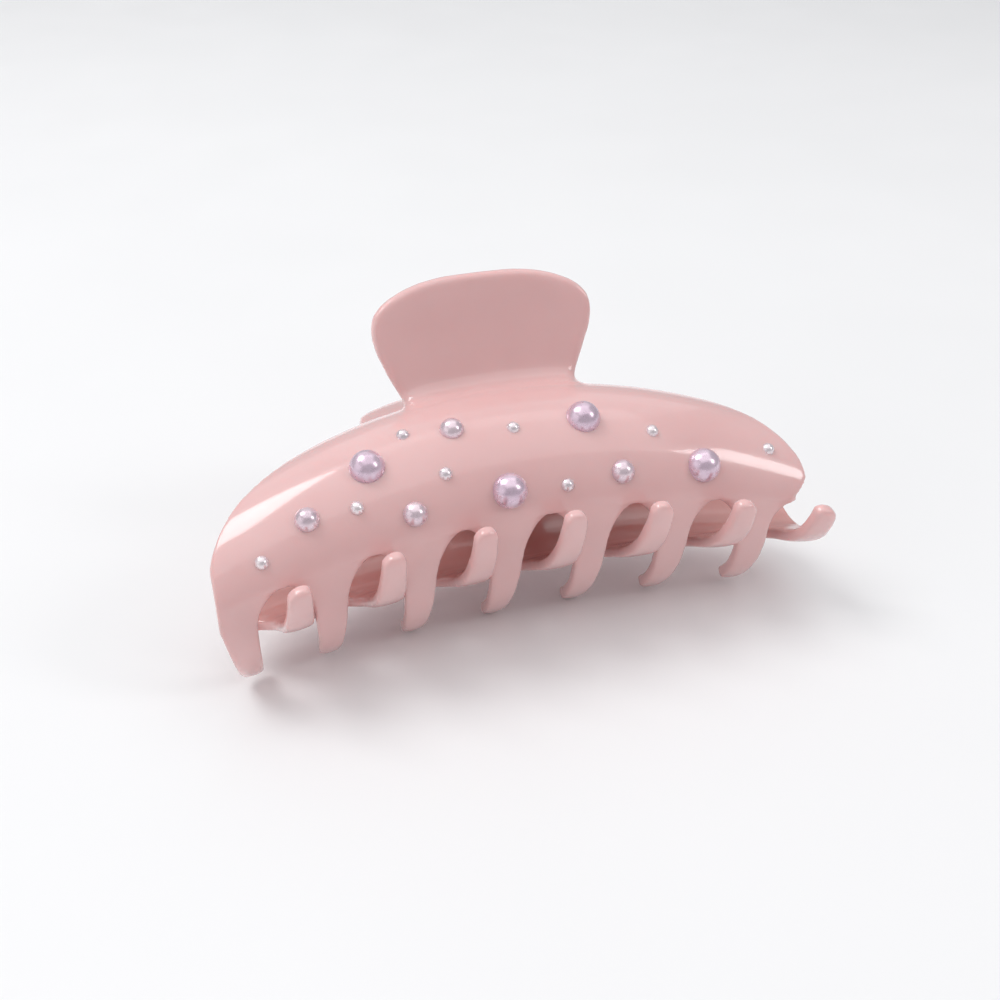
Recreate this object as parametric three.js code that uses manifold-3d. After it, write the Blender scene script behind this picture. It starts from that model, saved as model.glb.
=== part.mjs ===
// A claw clip for hair: two equal toothed jaws turned half round from each other, joined by a pin with a
// torsion spring on it, with half-round pearls set in both jaws. Millimetres, +Z up, X along the clip.
import * as THREE from "three";
import { mergeVertices } from "three/addons/utils/BufferGeometryUtils.js";
import Module from "manifold-3d";

// The barrel that both jaws lie on, upright round the X axis, with the tabs at the top. Its section is an
// ellipse of this half depth and half height, which shrinks and sinks from the middle towards the ends.
const HALF_LENGTH = 53;
const BARREL = { depth: 16.4, height: 16.5, endDepth: 8.9, endHeight: 11.2, droop: 9.3 };

// The shell of a jaw. Angles run round the barrel in degrees, from the top (0) over the outside (90).
// It ends in a tooth on the left and in a bare rounded corner on the right.
const SHELL = {
  thickness: 2.4,
  topAngle: 25,
  endTopAngle: 82,
  topPower: 4.8,
  bottomAngle: 140,
  rightStep: 2.3,
};
const SHELL_LEFT = -HALF_LENGTH;
const SHELL_RIGHT = HALF_LENGTH - SHELL.rightStep;
const CORNER = { angle: 114, power: 2.6, width: 7, topDrop: 21 };

// The teeth of a jaw: as many as the length holds at about this pitch, so that the row of one jaw starts
// at one end and the turned row of the other jaw passes it this share of a pitch to one side.
const STAGGER = 0.62;
const TOOTH = {
  aboutPitch: 15,
  rootWidth: 6.8,
  tipWidth: 3.7,
  tipThickness: 2.6,
  curlAngle: 155,
  curlPower: 1.6,
  tipAngle: 227,
  curlOut: 8.1,
  tipRound: 1.9,
  endMargin: 3,
  gapWidth: 4.4,
  gapHeight: 9.5,
  sinkAngle: 9,
  sink: 0.05,
  edge: 0.6,
};
const FIRST_TOOTH_X = SHELL_LEFT + TOOTH.endMargin;
const TOOTH_COUNT = Math.round((-2 * FIRST_TOOTH_X) / TOOTH.aboutPitch - STAGGER) + 1;
const TOOTH_PITCH = (-2 * FIRST_TOOTH_X) / (TOOTH_COUNT - 1 + STAGGER);
const FIRST_TOOTH_LEAN = { front: 1.8, rear: 0 };

// The thumb tab of a jaw
const TAB = {
  thickness: 2.7,
  length: 22.3,
  baseHalfWidth: 14.9,
  halfWidth: 19.9,
  widestAt: 14,
  flare: 1.4,
  cornerPower: 2.8,
  baseLean: 22,
  endLean: 54,
  dish: 1.2,
  sink: 1.2,
  fillet: 3.2,
  filletFoot: 0.7,
};

// The hinge: a pin through two knuckles of each jaw, this far below the top edges of the shells
const HINGE_DROP = 3.35;
const HINGE_Z = BARREL.height * Math.cos(THREE.MathUtils.degToRad(SHELL.topAngle)) - HINGE_DROP;
const PIN = { radius: 1, headRim: 0.8, headLength: 0.8, clearance: 0.15 };
const SIDE_CLEARANCE = 0.3;

// The torsion spring on the middle of the pin
const SPRING = { wire: 1.2, turns: 5, pitch: 1.4, legReach: 9, pinGap: 1, tabGap: 0.3, endGap: 1.5 };
const SPRING_RADIUS = PIN.radius + SPRING.pinGap + SPRING.wire / 2;

const KNUCKLE = { wall: 2.05, width: 3.5, rootAngles: [29, 52], eyeAngles: [-110, 100] };
const BORE_RADIUS = PIN.radius + PIN.clearance;
const INNER_KNUCKLE_X = (SPRING.turns * SPRING.pitch + SPRING.wire) / 2 + SPRING.endGap;
const OUTER_KNUCKLE_X = INNER_KNUCKLE_X + KNUCKLE.width + SIDE_CLEARANCE;

// The pearls: how they are seated, then each size's radius and its places on the shell, as [share of the
// half length from the middle, angle round the barrel]
const SEAT = { clearance: 0.2, sink: 0.3, depth: 0.9, floorGap: 0.3 };
const PEARLS = {
  large: {
    radius: 2.95,
    sides: 14,
    rings: 3,
    at: [[-0.491, 84], [0.217, 83], [-0.075, 122], [0.585, 115]],
  },
  medium: {
    radius: 2.05,
    sides: 12,
    rings: 3,
    at: [[-0.208, 77], [-0.698, 101], [-0.377, 122], [0.302, 119]],
  },
  small: {
    radius: 1.15,
    sides: 8,
    rings: 2,
    at: [
      [-0.358, 70],
      [-0.019, 85],
      [-0.264, 104],
      [-0.547, 107],
      [-0.849, 115],
      [0.434, 93],
      [0.113, 124],
      [0.84, 95],
    ],
  },
};

// How the clip lies: turned back about X, on the tips of the front teeth
const LYING_TILT = 58.7;

const PLASTIC = { color: 0xe2bcbc, roughness: 0.22, metalness: 0 };
const STEEL = { color: 0xb8b8bc, roughness: 0.3, metalness: 1 };
const PEARL = { color: 0xd9c6dd, roughness: 0.25, metalness: 0.1 };

// How finely the surfaces are divided
const CELLS = { shell: [24, 6], tooth: [4, 10], tab: [10, 9] };
const ROUND_SIDES = 24;
const KNUCKLE_SIDES = 16;
const WIRE = { steps: 96, sides: 3 };
const TAB_LINE_STEPS = 8;
const NORMAL_STEP = 0.05;
const LAST_ROW = { tab: 0.985, tooth: 0.06 };
const TIP_CROWDING = 1.5;

const rad = THREE.MathUtils.degToRad;
const lerp = THREE.MathUtils.lerp;
const smoothstep = THREE.MathUtils.smoothstep;

const wasm = await Module();
wasm.setup();

function solid(geometry) {
  const bare = geometry.clone();
  bare.deleteAttribute("normal");
  bare.deleteAttribute("uv");
  const merged = mergeVertices(bare, 1e-4);
  return new wasm.Manifold(
    new wasm.Mesh({
      numProp: 3,
      vertProperties: new Float32Array(merged.attributes.position.array),
      triVerts: new Uint32Array(merged.index.array),
    }),
  );
}

function geometryOf(body) {
  const mesh = body.getMesh();
  return new THREE.BufferGeometry()
    .setAttribute("position", new THREE.BufferAttribute(mesh.vertProperties, 3))
    .setIndex(new THREE.BufferAttribute(mesh.triVerts, 1));
}

// A box of cells whose corners are placed by place(across, along, through), each 0 to 1.
function warpedBox(cells, place) {
  const box = new THREE.BoxGeometry(1, 1, 1, ...cells, 1);
  const corners = box.attributes.position;
  for (let i = 0; i < corners.count; i++) {
    const point = place(corners.getX(i) + 0.5, corners.getY(i) + 0.5, corners.getZ(i) + 0.5);
    corners.setXYZ(i, point.x, point.y, point.z);
  }
  return solid(box);
}

// A point of the front half of the barrel, moved out of its surface by out.
function barrel(x, angle, out = 0) {
  const share = (x / HALF_LENGTH) ** 2;
  const depth = lerp(BARREL.depth, BARREL.endDepth, share) + out;
  const height = lerp(BARREL.height, BARREL.endHeight, share) + out;
  const turn = rad(angle);
  return new THREE.Vector3(x, -depth * Math.sin(turn), height * Math.cos(turn) - BARREL.droop * share);
}

function barrelNormal(x, angle) {
  const along = barrel(x + NORMAL_STEP, angle).sub(barrel(x - NORMAL_STEP, angle));
  const round = barrel(x, angle + NORMAL_STEP).sub(barrel(x, angle - NORMAL_STEP));
  return round.cross(along).normalize();
}

// The top edge, with its corner at each end rounded off.
function shellTopAngle(x) {
  const end = x < 0 ? SHELL_LEFT : SHELL_RIGHT;
  const inCorner = Math.max(0, 1 - Math.abs(end - x) / CORNER.width);
  const drop = CORNER.topDrop * (1 - Math.sqrt(1 - inCorner ** 2));
  return lerp(SHELL.topAngle, SHELL.endTopAngle, (x / end) ** SHELL.topPower) + drop;
}

// The bottom edge, with the corner beyond the last tooth rounded off.
function shellBottomAngle(x) {
  const start = FIRST_TOOTH_X + (TOOTH_COUNT - 1) * TOOTH_PITCH + TOOTH.rootWidth / 2;
  const share = Math.max(0, (x - start) / (SHELL_RIGHT - start));
  return lerp(SHELL.bottomAngle, CORNER.angle, share ** CORNER.power);
}

function shell() {
  return warpedBox(CELLS.shell, (across, along, through) => {
    const x = lerp(SHELL_LEFT, SHELL_RIGHT, 0.5 - 0.5 * Math.cos(Math.PI * across));
    const angle = lerp(shellTopAngle(x), shellBottomAngle(x), along);
    return barrel(x, angle, -SHELL.thickness * through);
  });
}

// Half the width of a tooth, with the arch of the gap beside it at its root.
function toothHalfWidth(angle) {
  const down = (rad(angle - SHELL.bottomAngle) * (BARREL.depth + BARREL.height)) / 2;
  const share = Math.max(0, (angle - SHELL.bottomAngle) / (TOOTH.tipAngle - SHELL.bottomAngle));
  const half = lerp(TOOTH.rootWidth, TOOTH.tipWidth, share) / 2;
  const short = 1 - THREE.MathUtils.clamp(down / TOOTH.gapHeight, 0, 1);
  return half + TOOTH.gapWidth * (1 - Math.sqrt(1 - short ** 2));
}

// The share of the way out of the barrel that a tooth has come at an angle.
function toothCurl(angle) {
  const share = Math.max(0, (angle - TOOTH.curlAngle) / (TOOTH.tipAngle - TOOTH.curlAngle));
  return share ** TOOTH.curlPower;
}

function toothLine(x, angle) {
  return barrel(x, angle, TOOTH.curlOut * toothCurl(angle) - SHELL.thickness / 2);
}

// A tooth at x along the jaw. It runs down the barrel, then comes out of it, and its tip leans along X.
function tooth(x, lean) {
  const start = SHELL.bottomAngle - TOOTH.sinkAngle;
  return warpedBox(CELLS.tooth, (across, along, through) => {
    const angle = lerp(TOOTH.tipAngle, start, (1 - along) ** TIP_CROWDING);
    const curl = toothCurl(angle);
    const left = rad(TOOTH.tipAngle - angle) * (BARREL.depth + TOOTH.curlOut);
    const short = 1 - Math.min(1, LAST_ROW.tooth + left / TOOTH.tipRound);
    const round = Math.sqrt(1 - short ** 2);
    const side = Math.sin(Math.PI * (across - 0.5));
    const wide = x + lean * curl + toothHalfWidth(angle) * round * side;
    const place = THREE.MathUtils.clamp(wide, SHELL_LEFT, SHELL_RIGHT);
    const full = lerp(SHELL.thickness - 2 * TOOTH.sink, TOOTH.tipThickness, curl);
    const thick = full * Math.sqrt(round) * lerp(TOOTH.edge, 1, Math.sqrt(1 - side ** 2));
    const way = toothLine(place, angle + NORMAL_STEP).sub(toothLine(place, angle - NORMAL_STEP));
    const outward = new THREE.Vector3(0, -way.z, way.y).normalize().negate();
    return toothLine(place, angle).addScaledVector(outward, thick * (0.5 - through));
  });
}

// The middle line of the tab leans out more and more on its way up.
function tabLine(height) {
  const base = barrel(0, SHELL.topAngle, -SHELL.thickness / 2);
  const lean = (rise) => rad(lerp(TAB.baseLean, TAB.endLean, rise / TAB.length));
  const point = { y: base.y, z: base.z, lean: lean(height) };
  const step = height / TAB_LINE_STEPS;
  for (let i = 0; i < TAB_LINE_STEPS; i++) {
    point.y -= Math.sin(lean((i + 0.5) * step)) * step;
    point.z += Math.cos(lean((i + 0.5) * step)) * step;
  }
  return point;
}

function tabHalfWidth(height) {
  if (height < TAB.widestAt) {
    const left = 1 - Math.max(0, height) / TAB.widestAt;
    return lerp(TAB.halfWidth, TAB.baseHalfWidth, left ** TAB.flare);
  }
  const share = (height - TAB.widestAt) / (TAB.length - TAB.widestAt);
  return TAB.halfWidth * (1 - share ** TAB.cornerPower) ** (1 / TAB.cornerPower);
}

function tabPoint(side, height, out) {
  const line = tabLine(height);
  const x = side * tabHalfWidth(height);
  const forward = TAB.dish * (x / TAB.halfWidth) ** 2 * smoothstep(height, 0, TAB.widestAt) + out;
  return new THREE.Vector3(
    x,
    line.y - forward * Math.cos(line.lean),
    line.z - forward * Math.sin(line.lean) - BARREL.droop * (x / HALF_LENGTH) ** 2,
  );
}

// The tab, with a fillet along the foot of its front face.
function tab() {
  return warpedBox(CELLS.tab, (across, along, through) => {
    const rise = Math.sin((Math.PI / 2) * (1 - along)) * LAST_ROW.tab;
    const height = lerp(-TAB.sink, TAB.length, rise);
    const short = TAB.fillet - THREE.MathUtils.clamp(height - TAB.filletFoot, 0, TAB.fillet);
    const foot = TAB.fillet - Math.sqrt(TAB.fillet ** 2 - short ** 2);
    return tabPoint(2 * across - 1, height, TAB.thickness * (0.5 - through) + foot * (1 - through));
  });
}

// The matrix that turns a solid drawn in XY and grown along Z into one drawn in YZ and grown along X.
const DRAWN_IN_YZ = new THREE.Matrix4().makeBasis(
  new THREE.Vector3(0, 1, 0),
  new THREE.Vector3(0, 0, 1),
  new THREE.Vector3(1, 0, 0),
);

// A knuckle with its left side at x = left: an eye round the hinge, with a web back to the shell.
function knuckle(left) {
  const [from, to] = KNUCKLE.eyeAngles.map(rad);
  const [top, bottom] = KNUCKLE.rootAngles.map((angle) => barrel(left, angle, -SHELL.thickness / 2));
  const shape = new THREE.Shape();
  shape.absarc(0, HINGE_Z, BORE_RADIUS + KNUCKLE.wall, from, to, false);
  shape.lineTo(top.y, top.z);
  shape.lineTo(bottom.y, bottom.z);
  shape.closePath();
  const options = { depth: KNUCKLE.width, bevelEnabled: false, curveSegments: KNUCKLE_SIDES };
  const body = new THREE.ExtrudeGeometry(shape, options).applyMatrix4(DRAWN_IN_YZ);
  return solid(body.translate(left, 0, 0));
}

function pinBore() {
  const length = 3 * (OUTER_KNUCKLE_X + KNUCKLE.width);
  const bore = new THREE.CylinderGeometry(BORE_RADIUS, BORE_RADIUS, length, ROUND_SIDES);
  return solid(bore.rotateZ(Math.PI / 2).translate(0, 0, HINGE_Z));
}

function pearlPlace([share, angle]) {
  const x = share * HALF_LENGTH;
  const normal = barrelNormal(x, angle);
  const turn = new THREE.Quaternion().setFromUnitVectors(new THREE.Vector3(0, 1, 0), normal);
  return { turn, point: barrel(x, angle).addScaledVector(normal, -SEAT.sink) };
}

function seat(radius, sides, at) {
  const place = pearlPlace(at);
  const wide = radius + SEAT.clearance;
  const cut = new THREE.CylinderGeometry(wide, wide, 2 * radius, sides);
  cut.translate(0, radius - SEAT.depth, 0);
  cut.applyQuaternion(place.turn).translate(place.point.x, place.point.y, place.point.z);
  return solid(cut);
}

function pearl(radius, sides, rings) {
  const floor = -SEAT.depth + SEAT.floorGap;
  const profile = [new THREE.Vector2(0, floor), new THREE.Vector2(radius, floor)];
  for (let i = 0; i < rings; i++) {
    const turn = ((Math.PI / 2) * i) / rings;
    profile.push(new THREE.Vector2(radius * Math.cos(turn), radius * Math.sin(turn)));
  }
  profile.push(new THREE.Vector2(0, radius));
  return geometryOf(solid(new THREE.LatheGeometry(profile, sides)));
}

function jaw(side) {
  let body = shell().add(tab());
  for (let i = 0; i < TOOTH_COUNT; i++) {
    const lean = i === 0 ? FIRST_TOOTH_LEAN[side] : 0;
    body = body.add(tooth(FIRST_TOOTH_X + i * TOOTH_PITCH, lean));
  }
  for (const x of [-OUTER_KNUCKLE_X - KNUCKLE.width, INNER_KNUCKLE_X]) {
    body = body.add(knuckle(x));
  }
  body = body.subtract(pinBore());
  for (const { radius, sides, at } of Object.values(PEARLS)) {
    for (const place of at) {
      body = body.subtract(seat(radius, sides, place));
    }
  }
  return geometryOf(body);
}

// The pin, turned on its own axis, with a head at each end.
function pin() {
  const half = OUTER_KNUCKLE_X + KNUCKLE.width + SIDE_CLEARANCE;
  const end = half + PIN.headLength;
  const head = PIN.radius + PIN.headRim;
  const profile = [
    [0, -end],
    [head, -end],
    [head, -half],
    [PIN.radius, -half],
    [PIN.radius, half],
    [head, half],
    [head, end],
    [0, end],
  ].map(([r, y]) => new THREE.Vector2(r, y));
  return new THREE.LatheGeometry(profile, ROUND_SIDES).rotateZ(-Math.PI / 2);
}

// The wire's middle line: up one tab, round the pin, and up the other tab.
class SpringLine extends THREE.Curve {
  constructor() {
    super();
    const gap = TAB.thickness / 2 + SPRING.tabGap + SPRING.wire / 2;
    const end = tabPoint(0, SPRING.legReach, -gap);
    this.foot = new THREE.Vector2(end.y, end.z - HINGE_Z);
    const reach = this.foot.length();
    this.leg = Math.sqrt(reach ** 2 - SPRING_RADIUS ** 2);
    this.start = this.foot.angle() - Math.acos(SPRING_RADIUS / reach);
    this.turn = 2 * Math.PI * SPRING.turns - (Math.PI - 2 * this.start);
    this.coil = this.turn * SPRING_RADIUS;
    this.half = (this.turn / (2 * Math.PI)) * SPRING.pitch * 0.5;
  }

  getPoint(t, target = new THREE.Vector3()) {
    const along = t * (this.coil + 2 * this.leg) - this.leg;
    const onCoil = THREE.MathUtils.clamp(along / this.coil, 0, 1);
    const angle = this.start - this.turn * onCoil;
    const past = along - onCoil * this.coil;
    const y = SPRING_RADIUS * Math.cos(angle) + past * Math.sin(angle);
    const z = SPRING_RADIUS * Math.sin(angle) - past * Math.cos(angle);
    return target.set(lerp(-this.half, this.half, onCoil), y, z + HINGE_Z);
  }
}

function spring() {
  const section = new THREE.Shape();
  section.absarc(0, 0, SPRING.wire / 2, 0, 2 * Math.PI, false);
  return new THREE.ExtrudeGeometry(section, {
    steps: WIRE.steps,
    curveSegments: WIRE.sides,
    bevelEnabled: false,
    extrudePath: new SpringLine(),
  });
}

function mesh(name, geometry, look) {
  const made = new THREE.Mesh(geometry, new THREE.MeshStandardMaterial(look));
  made.name = name;
  return made;
}

function jawGroup(side) {
  const group = new THREE.Group();
  group.add(mesh(side + "_jaw", jaw(side), PLASTIC));
  for (const [size, { radius, sides, rings, at }] of Object.entries(PEARLS)) {
    at.forEach((place, i) => {
      const made = mesh(side + "_pearl_" + size + "_" + (i + 1), pearl(radius, sides, rings), PEARL);
      const { turn, point } = pearlPlace(place);
      made.quaternion.copy(turn);
      made.position.copy(point);
      group.add(made);
    });
  }
  return group;
}

// Lays the clip down, with the middle of its box's bottom at the origin.
function laidDown(clip) {
  clip.rotation.x = -rad(LYING_TILT);
  const holder = new THREE.Group();
  holder.add(clip);
  const box = new THREE.Box3().setFromObject(holder, true);
  clip.position.set(-(box.min.x + box.max.x) / 2, -(box.min.y + box.max.y) / 2, -box.min.z);
  return holder;
}

const front = jawGroup("front");
const rear = jawGroup("rear");
rear.rotation.z = Math.PI;

const clip = new THREE.Group();
clip.add(front, rear);
const hingePin = mesh("hinge_pin", pin(), STEEL);
hingePin.position.z = HINGE_Z;
clip.add(hingePin, mesh("torsion_spring", spring(), STEEL));

export default laidDown(clip);
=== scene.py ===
"""The looks of the claw clip: two moulded jaws, a pin, a torsion spring and the pearls set in the jaws."""

import math

import bmesh
import bpy
import numpy as np
from mathutils import Matrix, Vector


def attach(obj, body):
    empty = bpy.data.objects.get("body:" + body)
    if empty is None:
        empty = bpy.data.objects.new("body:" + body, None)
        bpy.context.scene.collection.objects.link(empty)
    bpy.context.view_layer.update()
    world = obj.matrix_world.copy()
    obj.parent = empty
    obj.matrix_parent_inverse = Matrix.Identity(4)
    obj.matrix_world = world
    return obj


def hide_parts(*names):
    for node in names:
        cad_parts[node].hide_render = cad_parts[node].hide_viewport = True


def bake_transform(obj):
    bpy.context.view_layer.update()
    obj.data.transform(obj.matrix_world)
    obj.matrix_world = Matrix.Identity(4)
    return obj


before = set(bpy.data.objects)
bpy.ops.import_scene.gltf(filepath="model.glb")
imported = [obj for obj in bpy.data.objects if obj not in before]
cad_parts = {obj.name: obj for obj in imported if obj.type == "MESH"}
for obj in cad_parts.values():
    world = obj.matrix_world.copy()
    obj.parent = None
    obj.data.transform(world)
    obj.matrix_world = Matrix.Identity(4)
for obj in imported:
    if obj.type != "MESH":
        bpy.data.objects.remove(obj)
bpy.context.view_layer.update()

# The clip's own frame: millimetres, upright round the barrel's X axis, tabs up. The front jaw is at -Y.
HALF_LENGTH = 53.0
DEPTH, HEIGHT, END_DEPTH, END_HEIGHT, DROOP = 16.4, 16.5, 8.9, 11.2, 9.3
NORMAL_STEP = 0.05

# The shell of a jaw, with angles in degrees round the barrel from the top (0) over the outside (90)
WALL, TOP_ANGLE, END_TOP_ANGLE, TOP_POWER, BOTTOM_ANGLE = 2.4, 25.0, 82.0, 4.8, 140.0
LEFT, RIGHT = -HALF_LENGTH, 50.7
CORNER_ANGLE, CORNER_POWER, CORNER_WIDTH, CORNER_DROP = 114.0, 2.6, 7.0, 21.0

# The teeth of a jaw, and the gaps between them
END_MARGIN, STAGGER, TEETH = 3.0, 0.62, 7
FIRST_TOOTH_X = LEFT + END_MARGIN
PITCH = -2 * FIRST_TOOTH_X / (TEETH - 1 + STAGGER)
TOOTH_ROOT, TOOTH_TIP, TIP_THICKNESS = 6.8, 3.7, 2.6
CURL_ANGLE, CURL_POWER, TIP_ANGLE, CURL_OUT, TIP_ROUND = 155.0, 1.6, 227.0, 8.1, 1.9
TOOTH_SINK_ANGLE, TOOTH_SINK, TOOTH_EDGE, LAST_ROW, TIP_CROWDING = 9, 0.05, 0.6, 0.06, 1.5
GAP_WIDTH, GAP_HEIGHT = 4.4, 9.5

# The thumb tab of a jaw
TAB_THICKNESS, TAB_LENGTH, TAB_BASE, TAB_HALF, TAB_WIDEST, TAB_FLARE = 2.7, 22.3, 14.9, 19.9, 14.0, 1.4
TAB_POWER, TAB_LEAN, TAB_END_LEAN, TAB_DISH, TAB_SINK, TAB_LAST_ROW = 2.8, 22.0, 54.0, 1.2, 1.2, 0.995
TAB_FILLET, FILLET_FOOT = 3.2, 0.7

# The hinge and its spring
HINGE_Z = HEIGHT * math.cos(math.radians(TOP_ANGLE)) - 3.35
PIN, PIN_HEAD, HEAD_LENGTH, HEAD_EDGE, CLEARANCE = 1.0, 1.8, 0.8, 0.12, 0.15
KNUCKLE_INNER, KNUCKLE_WIDTH, KNUCKLE_RADIUS, KNUCKLE_GAP = 5.6, 3.5, 3.2, 0.3
KNUCKLE_ROOTS, KNUCKLE_EYE = (29, 52), (-110, 100)
BORE = PIN + CLEARANCE + 0.12
WIRE, COIL, TURNS, WIRE_PITCH, LEG_REACH, LEG_GAP = 1.2, 2.6, 5, 1.4, 9.0, 0.3

# The pearls: each size's radius and its places, as (share of the half length, angle round the barrel)
PEARL_SINK, PEARL_DEPTH = 0.3, 0.6
PEARLS = {
    "large": (2.95, [(-0.491, 84), (0.217, 83), (-0.075, 122), (0.585, 115)]),
    "medium": (2.05, [(-0.208, 77), (-0.698, 101), (-0.377, 122), (0.302, 119)]),
    "small": (
        1.15,
        [
            (-0.358, 70),
            (-0.019, 85),
            (-0.264, 104),
            (-0.547, 107),
            (-0.849, 115),
            (0.434, 93),
            (0.113, 124),
            (0.84, 95),
        ],
    ),
}

# How finely a moulding is divided, and how many rounds its edges, its tab's root and its seams are relaxed
VOXEL = 0.3
EDGE_ROUNDS, ROOT_ROUNDS, SEAM_ROUNDS = 7, 260, 2

# Round the tab's root: how far below the top edge its middle is and how wide it spreads (degrees), how far
# beside the tab it reaches and how deep it goes (mm)
ROOT_BELOW, ROOT_SPREAD, ROOT_BESIDE, ROOT_DEPTH = 5, 14, 7, 1.3

# A moulding's two faces are drawn back onto the barrel above this angle, where they are this near to it. The
# draw grows between these distances (mm) from its edges, below its tab and below its knuckles
SEATED_ANGLE, SEATED_REACH = 134, 0.5
FROM_EDGE, FROM_TAB, FROM_KNUCKLE, KNUCKLE_SPAN = (0.7, 1.6), (4, 9), (9, 11), 16

# How the clip lies, and metres
TILT = math.radians(58.7)
LYING = Matrix.Scale(0.001, 4) @ Matrix.Translation((0, -5.9894, 23.4564)) @ Matrix.Rotation(-TILT, 4, "X")
TURNED = Matrix.Rotation(math.pi, 4, "Z")


def lerp(a, b, t):
    return a + (b - a) * t


def smoothstep(x, a, b):
    t = np.clip((x - a) / (b - a), 0, 1)
    return t * t * (3 - 2 * t)


def barrel(x, angle, out=0.0):
    share = (x / HALF_LENGTH) ** 2
    turn = np.radians(angle)
    y = -(lerp(DEPTH, END_DEPTH, share) + out) * np.sin(turn)
    z = (lerp(HEIGHT, END_HEIGHT, share) + out) * np.cos(turn) - DROOP * share
    return np.stack(np.broadcast_arrays(x, y, z), -1)


def shell_top(x):
    end = np.where(x < 0, LEFT, RIGHT)
    corner = np.clip(1 - np.abs(end - x) / CORNER_WIDTH, 0, 1)
    drop = CORNER_DROP * (1 - np.sqrt(1 - corner**2))
    return lerp(TOP_ANGLE, END_TOP_ANGLE, np.abs(x / end) ** TOP_POWER) + drop


def shell_bottom(x):
    start = FIRST_TOOTH_X + (TEETH - 1) * PITCH + TOOTH_ROOT / 2
    return lerp(BOTTOM_ANGLE, CORNER_ANGLE, np.clip((x - start) / (RIGHT - start), 0, 1) ** CORNER_POWER)


def shell_place(across, along, through):
    x = lerp(LEFT, RIGHT, 0.5 - 0.5 * np.cos(np.pi * across))
    return barrel(x, lerp(shell_top(x), shell_bottom(x), along), -WALL * through)


def tooth_half(angle):
    down = np.radians(angle - BOTTOM_ANGLE) * (DEPTH + HEIGHT) / 2
    share = np.clip((angle - BOTTOM_ANGLE) / (TIP_ANGLE - BOTTOM_ANGLE), 0, 1)
    half = lerp(TOOTH_ROOT, TOOTH_TIP, share) / 2
    short = 1 - np.clip(down / GAP_HEIGHT, 0, 1)
    return half + GAP_WIDTH * (1 - np.sqrt(1 - short**2))


def tooth_curl(angle):
    return np.clip((angle - CURL_ANGLE) / (TIP_ANGLE - CURL_ANGLE), 0, 1.1) ** CURL_POWER


def tooth_line(x, angle):
    return barrel(x, angle, CURL_OUT * tooth_curl(angle) - WALL / 2)


def tooth_place(x0, lean):
    """Places a tooth at x0, which runs down the barrel, comes out of it and leans along X at its tip."""

    def place(across, along, through):
        angle = lerp(TIP_ANGLE, BOTTOM_ANGLE - TOOTH_SINK_ANGLE, (1 - along) ** TIP_CROWDING)
        curl = tooth_curl(angle)
        left = np.radians(TIP_ANGLE - angle) * (DEPTH + CURL_OUT)
        round_ = np.sqrt(1 - (1 - np.minimum(1, LAST_ROW + left / TIP_ROUND)) ** 2)
        side = np.sin(np.pi * (across - 0.5))
        wide = np.clip(x0 + lean * curl + tooth_half(angle) * round_ * side, LEFT, RIGHT)
        full = lerp(WALL - 2 * TOOTH_SINK, TIP_THICKNESS, curl)
        thick = full * np.sqrt(round_) * lerp(TOOTH_EDGE, 1, np.sqrt(1 - side**2))
        way = tooth_line(wide, angle + NORMAL_STEP) - tooth_line(wide, angle - NORMAL_STEP)
        outward = np.stack([0 * way[:, 0], way[:, 2], -way[:, 1]], -1)
        outward /= np.linalg.norm(outward, axis=1)[:, None]
        return tooth_line(wide, angle) + outward * (thick * (0.5 - through))[:, None]

    return place


def tab_line(height):
    base = barrel(0.0, TOP_ANGLE, -WALL / 2)
    y, z, steps = base[1] + 0 * height, base[2] + 0 * height, 16
    for i in range(steps):
        lean = np.radians(lerp(TAB_LEAN, TAB_END_LEAN, (i + 0.5) / steps * height / TAB_LENGTH))
        y = y - np.sin(lean) * height / steps
        z = z + np.cos(lean) * height / steps
    return y, z, np.radians(lerp(TAB_LEAN, TAB_END_LEAN, height / TAB_LENGTH))


def tab_half(height):
    low = lerp(TAB_HALF, TAB_BASE, (1 - np.clip(height / TAB_WIDEST, 0, 1)) ** TAB_FLARE)
    share = np.clip((height - TAB_WIDEST) / (TAB_LENGTH - TAB_WIDEST), 0, 1)
    return np.where(height < TAB_WIDEST, low, TAB_HALF * (1 - share**TAB_POWER) ** (1 / TAB_POWER))


def tab_point(side, height, out):
    y, z, lean = tab_line(height)
    x = side * tab_half(height)
    forward = TAB_DISH * (x / TAB_HALF) ** 2 * smoothstep(height, 0, TAB_WIDEST) + out
    y, z = y - forward * np.cos(lean), z - forward * np.sin(lean) - DROOP * (x / HALF_LENGTH) ** 2
    return np.stack(np.broadcast_arrays(x, y, z), -1)


def tab_place(across, along, through):
    height = lerp(-TAB_SINK, TAB_LENGTH, np.sin(np.pi / 2 * (1 - along)) * TAB_LAST_ROW)
    short = TAB_FILLET - np.clip(height - FILLET_FOOT, 0, TAB_FILLET)
    foot = TAB_FILLET - np.sqrt(TAB_FILLET**2 - short**2)
    return tab_point(2 * across - 1, height, TAB_THICKNESS * (0.5 - through) + foot * (1 - through))


def warped_box(cells, place):
    """Corners and quads of a box of cells, whose corners are placed by place(across, along, through)."""
    number, at, quads = {}, [], []

    def corner(p):
        if p not in number:
            number[p] = len(at)
            at.append(p)
        return number[p]

    for axis in range(3):
        u, v = (axis + 1) % 3, (axis + 2) % 3
        for end in (0, cells[axis]):
            for i in range(cells[u]):
                for j in range(cells[v]):
                    ring = []
                    for du, dv in ((0, 0), (1, 0), (1, 1), (0, 1)):
                        p = [0, 0, 0]
                        p[axis], p[u], p[v] = end, i + du, j + dv
                        ring.append(corner(tuple(p)))
                    quads.append(ring if end else ring[::-1])
    share = np.array(at, float) / np.array(cells)
    return place(share[:, 0], share[:, 1], share[:, 2]), quads


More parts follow.
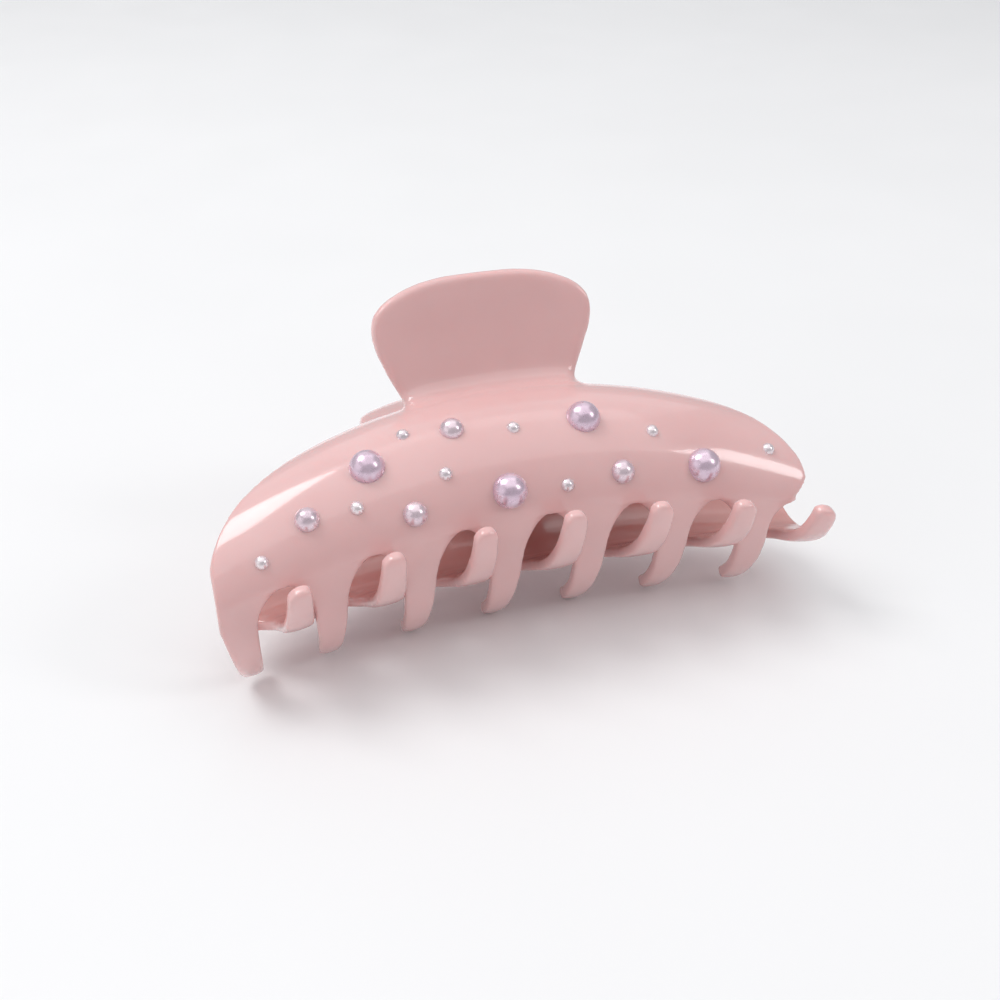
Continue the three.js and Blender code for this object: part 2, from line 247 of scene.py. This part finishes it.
def knuckle_solid(left):
    """Corners and faces of a knuckle with its left side at x = left, with the pin's bore through it."""
    roots = [barrel(float(left), a, -WALL / 2)[1:] for a in KNUCKLE_ROOTS]
    turns = np.radians(np.linspace(*KNUCKLE_EYE, 40))
    outer = [(KNUCKLE_RADIUS * math.cos(t), KNUCKLE_RADIUS * math.sin(t) + HINGE_Z) for t in turns]
    outer += [tuple(r) for r in roots]
    turns = np.linspace(0, 2 * math.pi, 32, endpoint=False)
    inner = [(BORE * math.cos(t), BORE * math.sin(t) + HINGE_Z) for t in turns]
    made = bmesh.new()
    loops = []
    for x in (left, left + KNUCKLE_WIDTH):
        rims = []
        for points in (outer, inner):
            corners = [made.verts.new((x, y, z)) for y, z in points]
            count = len(corners)
            edges = [made.edges.new((corners[i], corners[(i + 1) % count])) for i in range(count)]
            rims.append((corners, edges))
        bmesh.ops.triangle_fill(made, edges=rims[0][1] + rims[1][1], use_beauty=True)
        loops.append(rims)
    for k in range(2):
        a, b = loops[0][k][0], loops[1][k][0]
        for i in range(len(a)):
            j = (i + 1) % len(a)
            made.faces.new((a[i], a[j], b[j], b[i]))
    bmesh.ops.recalc_face_normals(made, faces=made.faces)
    made.verts.index_update()
    at = np.array([v.co for v in made.verts])
    faces = [[v.index for v in f.verts] for f in made.faces]
    made.free()
    return at, faces


def mesh_object(name, at, faces):
    data = bpy.data.meshes.new(name)
    data.from_pydata([tuple(p) for p in at], [], faces)
    data.validate()
    data.update()
    made = bpy.data.objects.new(name, data)
    bpy.context.scene.collection.objects.link(made)
    data.shade_smooth()
    return made


def apply_modifiers(made):
    graph = bpy.context.evaluated_depsgraph_get()
    data = bpy.data.meshes.new_from_object(made.evaluated_get(graph))
    made.modifiers.clear()
    old, made.data = made.data, data
    bpy.data.meshes.remove(old)


def coordinates(made):
    at = np.empty(len(made.data.vertices) * 3)
    made.data.vertices.foreach_get("co", at)
    return at.reshape(-1, 3)


def set_coordinates(made, at):
    made.data.vertices.foreach_set("co", np.ascontiguousarray(at, dtype=np.float32).ravel())
    made.data.update()


def barrel_out(at):
    """How far each point lies outside the barrel, and its angle round it."""
    share = (at[:, 0] / HALF_LENGTH) ** 2
    depth, height = lerp(DEPTH, END_DEPTH, share), lerp(HEIGHT, END_HEIGHT, share)
    y, z = -at[:, 1], at[:, 2] + DROOP * share
    out = np.zeros(len(at))
    for _ in range(12):
        a, b = np.maximum(depth + out, 1), np.maximum(height + out, 1)
        value = (y / a) ** 2 + (z / b) ** 2 - 1
        slope = -2 * (y**2 / a**3 + z**2 / b**3)
        out = np.clip(out - value / np.minimum(slope, -1e-3), -8, 12)
    return out, np.degrees(np.arctan2(y / (depth + out), z / (height + out)))


def relax(made, rounds, group=None):
    smooth = made.modifiers.new("relax", "SMOOTH")
    smooth.factor, smooth.iterations = 0.5, rounds
    if group is not None:
        marked = made.vertex_groups.new(name="relax")
        for level in (0.25, 0.5, 0.75, 1.0):
            marked.add(np.flatnonzero(group > level - 0.125).tolist(), level, "REPLACE")
        smooth.vertex_group = "relax"
    apply_modifiers(made)
    made.vertex_groups.clear()


def seat_on_barrel(made):
    """Draws the wall's two faces back onto the barrel, away from its edges, the tab and the knuckles."""
    at = coordinates(made)
    out, angle = barrel_out(at)
    x = at[:, 0]
    size = math.radians(1) * (DEPTH + HEIGHT) / 2
    top = (angle - shell_top(x)) * size
    bottom = (np.minimum(shell_bottom(x), SEATED_ANGLE) - angle) * size
    ends = np.minimum(x - LEFT, RIGHT - x)
    clear = smoothstep(np.minimum(np.minimum(top, bottom), ends), *FROM_EDGE)
    by_tab = 1 - smoothstep(np.abs(x), TAB_BASE + 1, TAB_BASE + ROOT_BESIDE)
    by_tab *= 1 - smoothstep(top, *FROM_TAB)
    outside = clear * (1 - by_tab) * (np.abs(out) < SEATED_REACH)
    by_knuckle = (np.abs(x) < KNUCKLE_SPAN) * (1 - smoothstep(top, *FROM_KNUCKLE))
    inside = clear * (1 - by_knuckle) * (np.abs(out + WALL) < SEATED_REACH)
    target = np.where(np.abs(out) < np.abs(out + WALL), 0.0, -WALL)
    weight = np.maximum(outside, inside)[:, None]
    set_coordinates(made, lerp(at, barrel(x, angle, target), weight))


def mark_painted_inner_shade(made):
    """Marks how far each point of a jaw faces the barrel's inside, for the shade that its material paints on
    the inner faces.
    """
    at, normal = coordinates(made), np.empty(len(made.data.vertices) * 3)
    made.data.vertex_normals.foreach_get("vector", normal)
    normal = normal.reshape(-1, 3)
    out, angle = barrel_out(at)
    turn = np.radians(angle)
    facing = normal[:, 1] * np.sin(turn) - normal[:, 2] * np.cos(turn)
    # Painted shade: this weight darkens the faces inside the barrel, near it, where the jaws are in shade.
    inner = smoothstep(facing, 0.1, 0.8) * (1 - smoothstep(out, 1.5, 5))
    marked = made.data.attributes.new("inner", "FLOAT", "POINT")
    marked.data.foreach_set("value", inner.astype(np.float32))


def jaw(side, lean):
    """One moulding: its solids are joined by a remesh, relaxed, and drawn back onto the barrel."""
    at, faces, count = [], [], 0
    solids = [warped_box((200, 60, 3), shell_place), warped_box((60, 60, 3), tab_place)]
    for i in range(TEETH):
        place = tooth_place(FIRST_TOOTH_X + i * PITCH, lean if i == 0 else 0)
        solids.append(warped_box((14, 56, 4), place))
    outer = KNUCKLE_INNER + KNUCKLE_WIDTH + KNUCKLE_GAP
    solids += [knuckle_solid(-outer - KNUCKLE_WIDTH), knuckle_solid(KNUCKLE_INNER)]
    for corners, quads in solids:
        at.append(corners)
        faces += [[i + count for i in quad] for quad in quads]
        count += len(corners)
    made = mesh_object(side + "_jaw_moulding", np.concatenate(at), faces)
    remesh = made.modifiers.new("remesh", "REMESH")
    remesh.mode, remesh.voxel_size = "VOXEL", VOXEL
    apply_modifiers(made)
    relax(made, EDGE_ROUNDS)
    at = coordinates(made)
    out, angle = barrel_out(at)
    along = 1 - smoothstep(np.abs(at[:, 0]), TAB_BASE, TAB_BASE + ROOT_BESIDE)
    root = np.exp(-(((angle - TOP_ANGLE - ROOT_BELOW) / ROOT_SPREAD) ** 2)) * along
    relax(made, ROOT_ROUNDS, root * (out > -ROOT_DEPTH))
    seat_on_barrel(made)
    relax(made, SEAM_ROUNDS)
    made.data.shade_smooth()
    mark_painted_inner_shade(made)
    return made


def turned(name, profile, sides):
    """A closed solid turned round +Z from (radius, height) points that start and end on the axis."""
    at = [(0, 0, profile[0][1])]
    for radius, height in profile[1:-1]:
        for i in range(sides):
            a = 2 * math.pi * i / sides
            at.append((radius * math.cos(a), radius * math.sin(a), height))
    at.append((0, 0, profile[-1][1]))
    faces, rings = [], len(profile) - 2
    for i in range(sides):
        j = (i + 1) % sides
        faces.append((0, 1 + j, 1 + i))
        for r in range(rings - 1):
            a, b = 1 + r * sides, 1 + (r + 1) * sides
            faces.append((a + i, a + j, b + j, b + i))
        last = 1 + (rings - 1) * sides
        faces.append((last + i, last + j, len(at) - 1))
    return mesh_object(name, at, faces)


def pearl(name, radius, share, angle):
    x = share * HALF_LENGTH
    along = barrel(x + NORMAL_STEP, angle) - barrel(x - NORMAL_STEP, angle)
    round_ = barrel(x, angle + NORMAL_STEP) - barrel(x, angle - NORMAL_STEP)
    normal = Vector(np.cross(round_, along)).normalized()
    profile = [(0, -PEARL_DEPTH), (radius - 0.08, -PEARL_DEPTH), (radius, -0.5), (radius, -0.25)]
    turns = np.linspace(0, math.pi / 2, 22)[:-1]
    profile += [(radius * math.cos(t), radius * math.sin(t)) for t in turns]
    profile.append((0, radius))
    made = turned(name, profile, 56)
    place = Vector(barrel(x, angle)) - normal * PEARL_SINK
    made.data.transform(Matrix.Translation(place) @ normal.to_track_quat("Z", "Y").to_matrix().to_4x4())
    return made


def wire_line(count):
    end = tab_point(0.0, np.array(LEG_REACH), -(TAB_THICKNESS / 2 + LEG_GAP + WIRE / 2))
    foot = complex(end[1], end[2] - HINGE_Z)
    leg = math.sqrt(abs(foot) ** 2 - COIL**2)
    start = math.atan2(foot.imag, foot.real) - math.acos(COIL / abs(foot))
    turn = 2 * math.pi * TURNS - (math.pi - 2 * start)
    coil, half = turn * COIL, turn / (2 * math.pi) * WIRE_PITCH / 2
    along = np.linspace(0, 1, count) * (coil + 2 * leg) - leg
    on_coil = np.clip(along / coil, 0, 1)
    angle, past = start - turn * on_coil, along - on_coil * coil
    y = COIL * np.cos(angle) + past * np.sin(angle)
    z = COIL * np.sin(angle) - past * np.cos(angle) + HINGE_Z
    return np.stack([lerp(-half, half, on_coil), y, z], -1)


def spring():
    line, sides = wire_line(900), 20
    tangent = np.gradient(line, axis=0)
    tangent /= np.linalg.norm(tangent, axis=1)[:, None]
    across = np.array([1.0, 0, 0]) - tangent * tangent[:, :1]
    across /= np.linalg.norm(across, axis=1)[:, None]
    up = np.cross(tangent, across)
    length = np.concatenate([[0], np.cumsum(np.linalg.norm(np.diff(line, axis=0), axis=1))])
    near_end = np.minimum(length, length[-1] - length)
    radius = WIRE / 2 * np.sqrt(1 - (1 - np.clip(0.3 + near_end / 0.35, 0, 1)) ** 2)
    turns = 2 * math.pi * np.arange(sides) / sides
    ring = across[:, None] * np.cos(turns)[None, :, None] + up[:, None] * np.sin(turns)[None, :, None]
    at = (line[:, None] + ring * radius[:, None, None]).reshape(-1, 3)
    faces = []
    for i in range(len(line) - 1):
        a, b = i * sides, (i + 1) * sides
        for j in range(sides):
            k = (j + 1) % sides
            faces.append((a + j, a + k, b + k, b + j))
    faces.append(tuple(range(sides))[::-1])
    faces.append(tuple(range((len(line) - 1) * sides, len(line) * sides)))
    return mesh_object("torsion_spring_wire", at, faces)


def pin():
    half = KNUCKLE_INNER + 2 * (KNUCKLE_WIDTH + KNUCKLE_GAP)
    edge, dome = half + HEAD_EDGE, HEAD_LENGTH - HEAD_EDGE
    head = [(PIN, half), (PIN_HEAD - 0.15, half), (PIN_HEAD, edge)]
    turns = np.linspace(0, math.pi / 2, 10)[1:-1]
    head += [(PIN_HEAD * math.cos(t), edge + dome * math.sin(t)) for t in turns]
    foot = [(r, -h) for r, h in reversed(head)]
    profile = [(0, -half - HEAD_LENGTH), *foot, *head, (0, half + HEAD_LENGTH)]
    made = turned("hinge_pin_steel", profile, 40)
    made.data.transform(Matrix.Translation((0, 0, HINGE_Z)) @ Matrix.Rotation(math.pi / 2, 4, "Y"))
    return made


class Nodes:
    """A material and short ways to add nodes to it."""

    def __init__(self, name):
        self.material = bpy.data.materials.new(name)
        self.material.use_nodes = True
        self.tree = self.material.node_tree
        self.shader = self.tree.nodes["Principled BSDF"]
        self.place = self.add("ShaderNodeTexCoord").outputs["Object"]

    def add(self, kind, inputs=(), **settings):
        node = self.tree.nodes.new(kind)
        for key, value in settings.items():
            setattr(node, key, value)
        for key, value in dict(inputs).items():
            if isinstance(value, bpy.types.NodeSocket):
                self.tree.links.new(value, node.inputs[key])
            else:
                node.inputs[key].default_value = value
        return node

    def noise(self, scale, detail=3.0, rough=0.5):
        inputs = {"Vector": self.place, "Scale": scale, "Detail": detail, "Roughness": rough}
        return self.add("ShaderNodeTexNoise", inputs).outputs["Fac"]

    def ramp(self, value, stops):
        node = self.add("ShaderNodeValToRGB", {"Fac": value})
        while len(node.color_ramp.elements) < len(stops):
            node.color_ramp.elements.new(0.5)
        for element, (at, colour) in zip(node.color_ramp.elements, stops):
            element.position, element.color = at, (*colour, 1)
        return node.outputs["Color"]

    def spread(self, value, low, high):
        inputs = {"Value": value, "From Min": 0.3, "From Max": 0.7, "To Min": low, "To Max": high}
        return self.add("ShaderNodeMapRange", inputs).outputs["Result"]

    def bump(self, height, distance):
        inputs = {"Height": height, "Distance": distance, "Strength": 1.0}
        return self.add("ShaderNodeBump", inputs).outputs["Normal"]

    def finish(self, **inputs):
        for key, value in inputs.items():
            socket = self.shader.inputs[key.replace("_", " ")]
            if isinstance(value, bpy.types.NodeSocket):
                self.tree.links.new(value, socket)
            else:
                socket.default_value = value
        return self.material


def plastic_material():
    m = Nodes("pink_acetate")
    cloud = m.noise(38, 4, 0.55)
    outer = m.ramp(cloud, [(0.3, (0.77, 0.47, 0.46)), (0.7, (0.81, 0.52, 0.51))])
    # Painted shade: faces inside the jaws get this darker, deeper rose, mixed in by their marked weight, in
    # place of the shade that falls there.
    inner = m.ramp(cloud, [(0.3, (0.63, 0.3, 0.28)), (0.7, (0.69, 0.35, 0.325))])
    share = m.add("ShaderNodeAttribute", attribute_name="inner").outputs["Fac"]
    colour = m.add("ShaderNodeMix", {0: share, 6: outer, 7: inner}, data_type="RGBA").outputs[2]
    return m.finish(
        Base_Color=colour,
        Roughness=m.spread(m.noise(220, 3), 0.13, 0.2),
        IOR=1.49,
        Subsurface_Weight=0.3,
        Subsurface_Radius=(1.0, 0.42, 0.36),
        Subsurface_Scale=0.0016,
        Coat_Weight=0.6,
        Coat_Roughness=0.04,
        Normal=m.bump(m.noise(900, 2), 0.000004),
    )


def pearl_material(name, low, high, rim):
    m = Nodes(name)
    return m.finish(
        Base_Color=m.ramp(m.noise(420, 3), [(0.32, low), (0.68, high)]),
        Roughness=m.spread(m.noise(900, 3), 0.25, 0.31),
        Metallic=0.66,
        Coat_Weight=0.8,
        Coat_Roughness=0.17,
        Coat_IOR=1.7,
        Sheen_Weight=0.4,
        Sheen_Roughness=0.3,
        Sheen_Tint=(*rim, 1),
        Normal=m.bump(m.noise(2600, 3), 0.000006),
    )


def steel_material():
    m = Nodes("plated_steel")
    lines = m.noise(1500, 2, 0.6)
    return m.finish(
        Base_Color=m.ramp(m.noise(260, 3), [(0.3, (0.48, 0.48, 0.5)), (0.7, (0.66, 0.66, 0.67))]),
        Metallic=1.0,
        Roughness=m.spread(lines, 0.2, 0.38),
        Normal=m.bump(lines, 0.000008),
    )


def dress(made, material, slot, *replaced):
    made.data.materials.clear()
    made.data.materials.append(material)
    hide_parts(*replaced)


PLASTIC = plastic_material()
STEEL = steel_material()
PEARL_COLOURS = {
    "large": ("pearl_lavender", (0.68, 0.51, 0.63), (0.83, 0.65, 0.77), (0.95, 0.78, 0.88)),
    "medium": ("pearl_silver_pink", (0.72, 0.57, 0.65), (0.86, 0.7, 0.76), (0.98, 0.84, 0.87)),
    "small": ("pearl_white", (0.78, 0.68, 0.73), (0.92, 0.82, 0.84), (1.0, 0.9, 0.91)),
}
PEARL_LOOKS = {size: pearl_material(*colours) for size, colours in PEARL_COLOURS.items()}

# A jaw's side, its body, the lean of its first tooth, and its turn
JAWS = (("front", "front_half", 1.8, Matrix()), ("rear", "rear_half", 0.0, TURNED))

for side, body, lean, turn in JAWS:
    moulding = jaw(side, lean)
    moulding.data.transform(LYING @ turn)
    dress(moulding, PLASTIC, "shell_plastic", side + "_jaw")
    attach(moulding, body)
    for size, (radius, places) in PEARLS.items():
        for i, (share, angle) in enumerate(places):
            node = f"{side}_pearl_{size}_{i + 1}"
            dome = pearl(node + "_dome", radius, share, angle)
            dome.data.transform(LYING @ turn)
            dress(dome, PEARL_LOOKS[size], "pearl", node)
            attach(dome, body)

wire = spring()
wire.data.transform(LYING)
dress(wire, STEEL, "steel", "torsion_spring")
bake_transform(wire)

axle = pin()
axle.data.transform(LYING)
dress(axle, STEEL, "steel", "hinge_pin")
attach(axle, "rear_half")


def floor():
    made = mesh_object("floor", [(-4, -4, 0), (4, -4, 0), (4, 4, 0), (-4, 4, 0)], [(0, 1, 2, 3)])
    m = Nodes("matt_table")
    made.data.materials.append(
        m.finish(
            Base_Color=m.ramp(m.noise(6, 3), [(0.3, (0.86, 0.86, 0.865)), (0.7, (0.88, 0.88, 0.885))]),
            Roughness=m.spread(m.noise(30, 3), 0.5, 0.6),
        )
    )


def light(name, direction, distance, size, watts):
    """A soft light of a size in metres, that way and that far from the clip, turned towards it."""
    data = bpy.data.lights.new(name, "AREA")
    data.shape, data.size, data.size_y = "RECTANGLE", *size
    data.energy = watts
    made = bpy.data.objects.new(name, data)
    bpy.context.scene.collection.objects.link(made)
    away = Vector(direction).normalized()
    made.location = Vector((0, 0, 0.02)) + away * distance
    made.rotation_euler = away.to_track_quat("Z", "Y").to_euler()


floor()
light("key", (-0.47, 0.3, 0.83), 1.0, (0.42, 0.46), 3.4)
light("fill", (0.68, -0.45, 0.55), 1.0, (0.22, 0.32), 1.3)
light("left", (-1.0, -0.2, 0.4), 1.5, (1.4, 1.0), 2.4)
light("back", (0.2, 0.85, 1), 1.8, (2.2, 1.6), 4.5)
light("ceiling", (0, -0.08, 1), 1.45, (2.1, 1.8), 8.6)

world = bpy.data.worlds.new("studio")
world.use_nodes = True
world.node_tree.nodes["Background"].inputs["Color"].default_value = (0.96, 0.97, 1, 1)
world.node_tree.nodes["Background"].inputs["Strength"].default_value = 0.42
bpy.context.scene.world = world

AZIMUTH, ELEVATION, DISTANCE = math.radians(-17.87), math.radians(31.71), 0.24172
TARGET = Vector((0.004092, 0.009733, 0.009568))
SENSOR, LENS = 36, 45.054
back = Vector(
    (
        math.sin(AZIMUTH) * math.cos(ELEVATION),
        -math.cos(AZIMUTH) * math.cos(ELEVATION),
        math.sin(ELEVATION),
    )
)
lens = bpy.data.cameras.new("camera")
lens.sensor_width, lens.lens = SENSOR, LENS
lens.clip_start, lens.clip_end = 0.01, 20
camera = bpy.data.objects.new("camera", lens)
bpy.context.scene.collection.objects.link(camera)
camera.location = TARGET + back * DISTANCE
camera.rotation_euler = back.to_track_quat("Z", "Y").to_euler()
bpy.context.scene.camera = camera
bpy.context.scene.view_settings.view_transform = "Standard"
